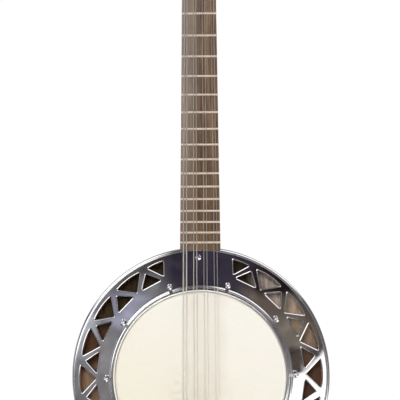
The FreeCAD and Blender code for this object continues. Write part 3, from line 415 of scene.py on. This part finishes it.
def finish_resonator(p, colour, shade, pore, inside, grain):
    """Polish on the outside, and matt wood where inside is 1.

    The inside is wood with a stain and painted shade that darkens higher up, a painted pale patch low on the bass
    side, and painted light on the treble side.
    """
    x, _, z = p.xyz()
    across = p.math("ADD", x, p.math("MULTIPLY", p.noise(30, 3, 0.5, 0.5), 30 * MM))
    above = p.math("ADD", z, p.math("MULTIPLY", p.noise(45, 3, 0.5, 0.8), 30 * MM))
    # Painted shade: the inside darkens higher up, towards the flange.
    stained = p.ramp(p.spread(above, 0.0, 100 * MM, 0.0, 1.0), SHADED_STAINED_WOOD)
    # Painted light: a pale patch low on the bass side.
    bass = p.spread(across, 0.0, -30 * MM, 0.0, 1.0)
    painted_light = p.math("MULTIPLY", p.spread(above, 22 * MM, 12 * MM, 0.0, 1.0), bass)
    stained = p.mix(painted_light, stained, (0.38, 0.25, 0.155))
    # Painted light on the treble side, fading out lower down.
    painted_lit = p.ramp(p.spread(above, 40 * MM, 90 * MM, 0.0, 1.0), PAINTED_LIT_WOOD)
    treble = p.spread(across, 58 * MM, 71 * MM, 0.0, 1.0)
    painted_lit_share = p.math("MULTIPLY", treble, p.spread(above, 20 * MM, 42 * MM, 0.06, 1.0))
    lined = p.spread(grain, 0.34, 0.66, 0.72, 1.28)
    inner = p.mix(1.0, p.mix(painted_lit_share, stained, painted_lit), p.vector(lined, lined, lined), "MULTIPLY")
    outside = p.math("SUBTRACT", 1.0, inside)
    polish = p.spread(shade, 0.3, 0.7, 0.34, 0.24)
    p.set(Base_Color=p.mix(inside, colour, inner), Coat_Roughness=0.10)
    p.set(Roughness=p.math("ADD", polish, p.math("MULTIPLY", inside, 0.4)))
    p.set(Coat_Weight=p.math("MULTIPLY", outside, 0.55))
    p.set(Normal=p.bump(p.noise(300, 2, 0.4), 0.015, p.bump(p.math("SUBTRACT", 0.0, pore), 0.02)))


def side_veneer():
    """The same veneer bent round the side, with the grain running round."""
    p = Paint("side_wood")
    around = p.round_coords(body_r)
    grain = p.noise((11, 420, 420), 5, 0.6, 0.35, around)
    ribbon = p.noise((90, 30, 30), 3, 0.5, 1.2, around)
    shade = p.math("ADD", p.math("MULTIPLY", grain, 0.65), p.math("MULTIPLY", ribbon, 0.35))
    stops = [(0.34, (0.065, 0.017, 0.009)), (0.5, (0.155, 0.044, 0.019)), (0.66, (0.28, 0.095, 0.042))]
    colour = p.ramp(shade, stops)
    pore = p.spread(p.noise((90, 1900, 1900), 2, 0.5, 0.0, around), 0.62, 0.70, 0.0, 0.6)
    colour = p.mix(pore, colour, (0.025, 0.010, 0.006))
    _, _, reach = p.xyz(around)
    finish_resonator(p, colour, shade, pore, p.math("LESS_THAN", reach, body_r - 2 * MM), grain)
    return p.mat


def rim_maple():
    """Bent maple rim in plies, grain running round."""
    p = Paint("rim_wood")
    around = p.round_coords(70 * MM)
    _, _, reach = p.xyz(around)
    grain = p.noise((12, 500, 500), 5, 0.6, 0.3, around)
    fleck = p.spread(p.noise((300, 900, 900), 2, 0.5, 0.0, around), 0.60, 0.70, 0.0, 0.4)
    colour = p.ramp(grain, [(0.32, (0.34, 0.19, 0.085)), (0.68, (0.56, 0.36, 0.19))])
    ply = p.math("GREATER_THAN", p.math("SINE", p.math("MULTIPLY", reach, FULL_TURN / (2.8 * MM))), 0.97)
    colour = p.mix(p.math("MULTIPLY", ply, 0.6), colour, (0.16, 0.08, 0.04))
    p.set(Base_Color=p.mix(fleck, colour, (0.30, 0.15, 0.07)))
    p.set(Roughness=p.spread(grain, 0.3, 0.7, 0.46, 0.36))
    p.set(Normal=p.bump(grain, 0.03))
    return p.mat


def make_materials():
    """Every material slot of the record, by name."""
    chrome = (0.80, 0.80, 0.83)
    made = {
        "resonator_veneer": veneer_back(),
        "side_wood": side_veneer(),
        "rim_wood": rim_maple(),
        "head_skin": head_skin(),
        "board_wood": fingerboard_wood(),
        "veneer_black": lacquer(),
        "string_wound": wound_string(),
        "string_plain": plain_string(),
        "hoop_plate": hoop_plating(chrome),
    }
    woods = {
        "neck_wood": dict(dark=(0.085, 0.026, 0.013), light=(0.27, 0.098, 0.046), gloss=0.32, coat=0.35),
        "inner_wood": dict(dark=(0.12, 0.045, 0.022), light=(0.30, 0.13, 0.065), gloss=0.55, pores=0.6),
        "bridge_maple": dict(dark=(0.40, 0.24, 0.11), light=(0.66, 0.46, 0.26), gloss=0.42, pores=0.2,
                             along=(1, 0, 0)),
        "bridge_ebony": dict(dark=(0.012, 0.010, 0.009), light=(0.050, 0.040, 0.034), gloss=0.34,
                             along=(1, 0, 0)),
    }
    plates = {
        "flange_plate": dict(tint=chrome, clean=0.015, worn=0.06, ripple=0.03, spots=0.35, scratch=0.0005),
        "hook_plate": dict(tint=chrome, clean=0.07, worn=0.22, ripple=0.01, spots=0.6),
        "tail_plate": dict(tint=chrome, clean=0.06, worn=0.18, ripple=0.03, spots=0.5),
        "tuner_plate": dict(tint=(0.78, 0.76, 0.72), clean=0.10, worn=0.28, ripple=0.02, spots=0.6),
    }
    metals = {
        "tone_brass": dict(tint=(0.72, 0.52, 0.24), rough=0.24),
        "gear_brass": dict(tint=(0.74, 0.56, 0.28), rough=0.27),
        "flesh_steel": dict(tint=(0.58, 0.57, 0.55), rough=0.34),
        "steel": dict(tint=(0.60, 0.60, 0.60), rough=0.30),
        "worm_steel": dict(tint=(0.66, 0.65, 0.63), rough=0.24),
        "fret_metal": dict(tint=(0.92, 0.80, 0.70), rough=0.30, along=(300, 300, 1500),
                           stain=(0.45, 0.36, 0.26), stained=0.18, metal=0.55),
    }
    plastics = {
        "binding": dict(base=(0.82, 0.74, 0.56), veined=(0.74, 0.62, 0.42), rough=0.28, grain=(40, 900, 40)),
        "nut_bone": dict(base=(0.84, 0.78, 0.64), veined=(0.72, 0.62, 0.46), rough=0.30,
                         grain=(30, 500, 500)),
        "button_ivoroid": dict(base=(0.82, 0.75, 0.58), veined=(0.70, 0.58, 0.38), rough=0.24,
                               grain=(1400, 60, 60)),
    }
    for build, looks in ((wood, woods), (plating, plates), (machined, metals), (aged_plastic, plastics)):
        for name, look in looks.items():
            made[name] = build(name, **look)
    return made


def dress_cad(materials):
    for entry in frame["record"]["subparts"]:
        piece = nodes[entry["node"]]
        piece.data.materials.clear()
        piece.data.materials.append(materials[entry["material_slot"]])


# --- Pieces that the CAD leaves out -------------------------------------------------------------------
def tube(name, points, radius, material, body):
    """A round wire along points in the row frame, as a mesh, riding on a body."""
    curve = bpy.data.curves.new(name, "CURVE")
    curve.dimensions = "3D"
    curve.bevel_depth = radius
    curve.bevel_resolution = 3
    curve.use_fill_caps = True
    line = curve.splines.new("POLY")
    line.points.add(len(points) - 1)
    for place, point in zip(line.points, points):
        place.co = (*point, 1.0)
    holder = bpy.data.objects.new(name + "_line", curve)
    bpy.context.scene.collection.objects.link(holder)
    bpy.context.view_layer.update()
    mesh = bpy.data.meshes.new_from_object(holder.evaluated_get(bpy.context.evaluated_depsgraph_get()))
    bpy.data.objects.remove(holder)
    mesh.name = name
    for face in mesh.polygons:
        face.use_smooth = True
    mesh.materials.clear()
    mesh.materials.append(material)
    piece = bpy.data.objects.new(name, mesh)
    bpy.context.scene.collection.objects.link(piece)
    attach(piece, body)
    return piece


def flange_bead(material):
    """A smooth skin over the rolled bead at the flange's edge."""
    low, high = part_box("flange")
    bead_r = 1.4 * MM
    skin = 0.03 * MM
    ring_r = high.x - bead_r
    round_steps, tube_steps = 720, 28
    corners, faces = [], []
    for i in range(round_steps):
        turn = FULL_TURN * i / round_steps
        for j in range(tube_steps):
            tilt = FULL_TURN * j / tube_steps
            reach = ring_r + (bead_r + skin) * math.cos(tilt)
            depth = low.y + bead_r + (bead_r + skin) * math.sin(tilt)
            corners.append((reach * math.sin(turn), depth, reach * math.cos(turn)))
            here, over = i * tube_steps, (i + 1) % round_steps * tube_steps
            up = (j + 1) % tube_steps
            faces.append((here + j, over + j, over + up, here + up))
    mesh = bpy.data.meshes.new("flange_bead")
    mesh.from_pydata(corners, [], faces)
    mesh.materials.append(material)
    for face in mesh.polygons:
        face.use_smooth = True
    bead = bpy.data.objects.new("flange_bead", mesh)
    bpy.context.scene.collection.objects.link(bead)
    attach(bead, "frame")


def string_points(node, wanted):
    """The corners of a node's mesh for which wanted is true, from the bass side."""
    points = [v.co.copy() for v in nodes[node].data.vertices if wanted(v.co)]
    return sorted(points, key=lambda c: c.x)


def string_groups(points, gap):
    """Points that are sorted from the bass side, split into one group for each string."""
    groups = [[points[0]]]
    for point in points[1:]:
        if point.x - groups[-1][-1].x > gap:
            groups.append([])
        groups[-1].append(point)
    return groups


def middle(points):
    return sum(points, Vector()) / len(points)


def end_near(place, reach):
    """The string that ends by a place: its slot, and the centre and radius of its end."""
    for node, slot in STRING_SETS:
        close = string_points(node, lambda c: (c - place).length < reach)
        if close:
            centre = middle(close)
            return slot, centre, max((c - centre).length for c in close)
    raise ValueError(f"no string ends near {tuple(place)}")


def post_windings(materials):
    """Turns of string stacked on each post beyond the string that leads off, then the cut end."""
    string_height = 6.0 * MM    # height above the joint's place at which the string leads off
    waist_top = 8.9 * MM        # height of the top of the post's narrow waist
    search = 4.2 * MM           # how far from the post's axis the string's end is looked for
    steps = 28                  # points in a turn
    start = -0.08               # in turns; a little before the lead-off, so that the two overlap
    for n in range(1, 9):
        joint = joints[f"post_turn_{n}"]
        down = Vector(joint["axis"]).normalized()       # into the headstock
        centre = Vector(joint["pos_m"]) - down * string_height
        slot, end, radius = end_near(centre, search)
        out = end - centre
        out -= down * out.dot(down)
        reach = out.length
        out.normalize()
        ahead = down.cross(out)
        if ahead.z < 0:
            ahead = -ahead
        rise = radius * 2.08
        turns = min(4.6, (waist_top - string_height - radius) / rise - 1)
        points = []
        for k in range(int((turns - start) * steps) + 1):
            share = start + k / steps
            turn = FULL_TURN * share
            side = out * math.cos(turn) + ahead * math.sin(turn)
            points.append(centre + side * reach - down * (rise * (1 + max(share, 0))))
        last = points[-1]
        outward = (last - centre - down * (last - centre).dot(down)).normalized()
        heading = (points[-1] - points[-2]).normalized()
        points.append(last + heading * 0.8 * MM + outward * 0.3 * MM)
        points.append(last + heading * 1.5 * MM + outward * 1.4 * MM)
        tube(f"winding_{n}", points, radius, materials[slot], f"string_post_body_{n}")


def tail_ends():
    """Slot, centre and radius of each string's lower end, from the bass side."""
    ends = []
    for node, slot in STRING_SETS:
        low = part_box(node)[0].z
        for group in string_groups(string_points(node, lambda c: c.z < low + 0.9 * MM), 0.7 * MM):
            centre = middle(group)
            ends.append((slot, centre, max(abs(c.x - centre.x) for c in group)))
    return ends


def string_slopes(ends):
    """Unit direction of each string from its hook to the bridge, from the bass side."""
    low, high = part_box("bridge_cap")
    saddle_z = (low.z + high.z) / 2
    tops = []
    for node, _ in STRING_SETS:
        points = string_points(node, lambda c: abs(c.z - saddle_z) < 1.2 * MM)
        tops += [middle(group) for group in string_groups(points, 0.9 * MM)]
    return [(top - end).normalized() for top, (_, end, _) in zip(tops, ends)]


def tail_loops(materials):
    """Each string's loop round its hook on the tailpiece, and the twist that closes the loop."""
    peg_r = 0.9 * MM
    clearance = 0.06 * MM
    twist_start = 0.4 * MM
    twist_len = 6.5 * MM
    ends = tail_ends()
    for n, ((slot, end, radius), slope) in enumerate(zip(ends, string_slopes(ends)), 1):
        loop_r = peg_r + radius + clearance
        peg = Vector((end.x, end.y, end.z - loop_r))
        points = []
        for k in range(25):
            turn = FULL_TURN * k / 24
            points.append(peg + Vector((loop_r * math.sin(turn), 0, loop_r * math.cos(turn))))
        tube(f"loop_{n}", points, radius, materials[slot], "frame")
        pitch = 6.0 * radius + 0.5 * MM
        steps = int(twist_len / pitch * 14)
        swell = radius * 2.02
        points = []
        for k in range(steps + 1):
            along = twist_start + twist_len * k / steps
            turn = FULL_TURN * along / pitch
            points.append(end + slope * along + Vector((swell * math.cos(turn), swell * math.sin(turn), 0)))
        tube(f"twist_{n}", points, radius * 0.92, materials[slot], "frame")


# --- Studio -------------------------------------------------------------------------------------------
VIEW_WIDTH = 0.340          # metres across the picture, at the flange
CAMERA_AWAY = 1.60
VIEW_CENTRE_Z = 0.150
LEAN_DEG = 0.3              # roll of the camera
FLOOR_R = 0.85              # ends just below the picture
SKY_STRENGTH = 0.35         # light on rough surfaces from all round
SKY_COLOUR = (1.0, 0.995, 0.985, 1)
BACKGROUND = 1.02           # how bright the plain background is
LIGHT_TARGET = (0, -0.03, 0.12)
AREA_LIGHTS = [             # name, place, width and height, power in watts, colour
    ("front", (-0.10, -2.1, 0.35), (0.35, 0.35), 21, (1.0, 0.99, 0.98)),
    ("key", (-1.3, -1.5, 1.5), (1.3, 1.0), 9, (1.0, 0.99, 0.98)),
    ("fill", (1.5, -1.3, 0.5), (1.0, 1.2), 5, (1.0, 0.98, 0.95)),
    ("back_left", (-1.2, 1.6, 1.2), (1.2, 1.2), 16, (1.0, 1.0, 1.0)),
    ("back_right", (1.6, 1.3, 0.6), (1.0, 1.2), 10, (1.0, 1.0, 1.0)),
]
ROOM_GREY = (0.16, 0.16, 0.17)
ROOM_BOXES = [              # clock angle and its half width, least and greatest tilt from the front, colour
    (0, 360, 140, 180, (0.60, 0.60, 0.60)),
    (-90, 18, 60, 130, (0.60, 0.60, 0.62)),
    (-40, 21, 20, 66, (2.6, 2.6, 2.56)),
    (32, 23, 20, 80, (1.65, 1.63, 1.60)),
    (136, 28, 22, 92, (2.4, 2.35, 2.25)),
]


def make_camera():
    data = bpy.data.cameras.new("camera")
    camera = bpy.data.objects.new("camera", data)
    bpy.context.scene.collection.objects.link(camera)
    data.sensor_width = 36.0
    data.lens = data.sensor_width * (CAMERA_AWAY + plate_front) / VIEW_WIDTH
    camera.location = (0.0, -CAMERA_AWAY, VIEW_CENTRE_Z)
    camera.rotation_euler = (math.radians(90), math.radians(LEAN_DEG), 0)
    data.clip_end = 100
    bpy.context.scene.camera = camera


def stage_mesh(name, corners, material):
    mesh = bpy.data.meshes.new(name)
    mesh.from_pydata(corners, [], [tuple(range(len(corners)))])
    mesh.materials.append(material)
    piece = bpy.data.objects.new(name, mesh)
    bpy.context.scene.collection.objects.link(piece)
    return piece


def make_floor():
    """A pale round floor that brightens into the white background towards its edge.

    It doesn't show in reflections.
    """
    p = Paint("floor_paint")
    x, y, _ = p.xyz()
    reach = p.length(x, y)
    p.set(Base_Color=p.mix(p.noise(6, 3, 0.5), (0.80, 0.80, 0.79), (0.84, 0.84, 0.83)), Roughness=0.9)
    glow = p.node("Emission")
    glow.inputs["Color"].default_value = (1, 1, 1, 1)
    blend = p.node("MixShader")
    p.feed(blend.inputs["Fac"], p.spread(reach, FLOOR_R * 0.45, FLOOR_R * 0.96, 0.0, 1.0))
    p.feed(blend.inputs[1], p.bsdf.outputs["BSDF"])
    p.feed(blend.inputs[2], glow.outputs["Emission"])
    p.feed(p.tree.nodes["Material Output"].inputs["Surface"], blend.outputs["Shader"])
    corner_count = 96
    turns = [FULL_TURN * k / corner_count for k in range(corner_count)]
    corners = [(FLOOR_R * math.cos(t), FLOOR_R * math.sin(t), floor_z) for t in turns]
    floor = stage_mesh("floor", corners, p.mat)
    floor.visible_glossy = False


def area_light(name, place, size, power, tint):
    """A soft light that faces the instrument and isn't seen, directly or in reflections."""
    data = bpy.data.lights.new(name, "AREA")
    data.shape = "RECTANGLE"
    data.size, data.size_y = size
    data.energy = power
    data.color = tint
    lamp = bpy.data.objects.new(name, data)
    bpy.context.scene.collection.objects.link(lamp)
    lamp.location = place
    lamp.rotation_euler = (Vector(LIGHT_TARGET) - Vector(place)).to_track_quat("-Z", "Y").to_euler()
    lamp.visible_camera = False
    lamp.visible_glossy = False


def make_room_card():
    """What the bright plate mirrors in front of it, unseen by the camera: a dim, uneven room.

    It is dark above the instrument and brown on the right, with paler patches on the left, and has a large
    pale window low on the right. u runs to the right and v upwards, in metres.
    """
    p = Paint("room_card")
    p.tree.nodes.remove(p.bsdf)
    glow = p.node("Emission")
    u, _, v = p.xyz()

    def uneven(value, noise, by):
        return p.math("ADD", value, p.math("MULTIPLY", p.math("SUBTRACT", noise, 0.5), by))

    def blob(at_u, at_v, wide, tall, soft=0.5, ragged=0.7):
        """1 inside a ragged oval and 0 outside it; wide and tall are its half width and half height."""
        across = p.math("DIVIDE", p.math("SUBTRACT", u, at_u), wide)
        up = p.math("DIVIDE", p.math("SUBTRACT", v, at_v), tall)
        far = uneven(p.length(across, up), p.noise(9, 4, 0.6, 0.5), ragged)
        return p.spread(far, 1.0 + soft / 2, 1.0 - soft / 2, 0.0, 1.0)

    colour = p.mix(p.noise(9, 4, 0.6, 0.6), (0.145, 0.143, 0.145), (0.245, 0.245, 0.250))
    brown_side = blob(0.13, 0.10, 0.12, 0.12, 0.4)
    colour = p.mix(brown_side, colour, (0.17, 0.135, 0.110))
    for place, size, tone in (
        ((-0.128, 0.116), (0.045, 0.034), (0.38, 0.38, 0.47)),
        ((-0.170, 0.010), (0.034, 0.060), (0.27, 0.26, 0.26)),
        ((-0.215, 0.078), (0.036, 0.044), (0.44, 0.47, 0.50)),
    ):
        colour = p.mix(blob(*place, *size), colour, tone)
    reach = uneven(p.length(u, v), p.noise(11, 4, 0.6, 0.5), 0.05)
    far_out = p.spread(reach, 0.190, 0.210, 0.0, 1.0)
    outer = p.math("MULTIPLY", far_out, p.spread(u, -0.160, -0.085, 0.0, 1.0))
    colour = p.mix(outer, colour, (0.058, 0.047, 0.044))
    for place, size, soft, ragged, tone in (
        ((0.196, 0.100), (0.045, 0.055), 0.5, 0.7, (0.125, 0.098, 0.078)),
        ((0.010, 0.185), (0.085, 0.075), 0.4, 0.7, (0.040, 0.034, 0.050)),
        ((0.128, 0.168), (0.045, 0.030), 0.4, 0.4, (0.020, 0.013, 0.013)),
        ((0.160, 0.066), (0.036, 0.036), 0.5, 0.7, (0.24, 0.20, 0.16)),
        ((0.170, 0.020), (0.028, 0.030), 0.5, 0.7, (0.070, 0.055, 0.045)),
    ):
        colour = p.mix(blob(*place, *size, soft, ragged), colour, tone)
    patchy = p.spread(p.noise(17, 3, 0.5, 1.5), 0.42, 0.58, 0.80, 1.20)
    colour = p.mix(1.0, colour, p.vector(patchy, patchy, patchy), "MULTIPLY")
    window = blob(0.31, -0.12, 0.188, 0.188, 0.03, 0.30)
    colour = p.mix(window, colour, (1.6, 1.56, 1.50))
    p.feed(glow.inputs["Color"], colour)
    p.feed(p.tree.nodes["Material Output"].inputs["Surface"], glow.outputs["Emission"])
    half = 0.5
    corners = [(-half, 0, -half), (half, 0, -half), (half, 0, half), (-half, 0, half)]
    card = stage_mesh("room_card", corners, p.mat)
    card.location = (0, -CAMERA_AWAY - 0.15, -0.16)
    card.visible_camera = False
    card.visible_diffuse = False
    card.visible_shadow = False
    card.visible_transmission = False


def room_tones(p):
    """What polished metal mirrors all round: a grey room with soft boxes, placed as on a clock face."""
    x, y, z = p.xyz(p.node("TexCoord").outputs["Generated"])
    clock = p.math("ARCTAN2", x, z)
    tilt = p.math("ARCCOSINE", p.math("MULTIPLY", y, -1.0))
    soft = math.radians(5)      # half the width of each box's blurred edge
    tone = ROOM_GREY
    for centre, half_width, least, greatest, colour in ROOM_BOXES:
        away = p.math("WRAP", p.math("SUBTRACT", clock, math.radians(centre)), math.pi)
        away.node.inputs[2].default_value = -math.pi
        wide = math.radians(half_width)
        within = p.spread(p.math("ABSOLUTE", away), wide + soft, wide - soft, 0.0, 1.0)
        inner = p.spread(tilt, math.radians(least) - soft, math.radians(least) + soft, 0.0, 1.0)
        outer = p.spread(tilt, math.radians(greatest) + soft, math.radians(greatest) - soft, 0.0, 1.0)
        tone = p.mix(p.math("MULTIPLY", within, p.math("MULTIPLY", inner, outer)), tone, colour)
    return tone


def make_light():
    """The world, white to the camera, the room in reflections and soft sky otherwise, and the lights."""
    world = bpy.data.worlds.new("studio")
    bpy.context.scene.world = world
    p = Paint("studio", world)

    def glow(colour, strength):
        made = p.tree.nodes.new("ShaderNodeBackground")
        p.feed(made.inputs["Color"], colour)
        made.inputs["Strength"].default_value = strength
        return made.outputs["Background"]

    def choose(ray, otherwise, then):
        made = p.node("MixShader")
        p.feed(made.inputs["Fac"], p.node("LightPath").outputs[ray])
        p.feed(made.inputs[1], otherwise)
        p.feed(made.inputs[2], then)
        return made.outputs["Shader"]

    seen = choose("Is Glossy Ray", glow(SKY_COLOUR, SKY_STRENGTH), glow(room_tones(p), 1.0))
    seen = choose("Is Camera Ray", seen, glow((1, 1, 1, 1), BACKGROUND))
    p.feed(p.tree.nodes["World Output"].inputs["Surface"], seen)
    for light in AREA_LIGHTS:
        area_light(*light)


def main():
    scene = bpy.context.scene
    scene.view_settings.view_transform = "Standard"
    scene.view_settings.look = "None"
    materials = make_materials()
    dress_cad(materials)
    flange_bead(materials["flange_plate"])
    post_windings(materials)
    tail_loops(materials)
    make_camera()
    make_floor()
    make_room_card()
    make_light()


main()
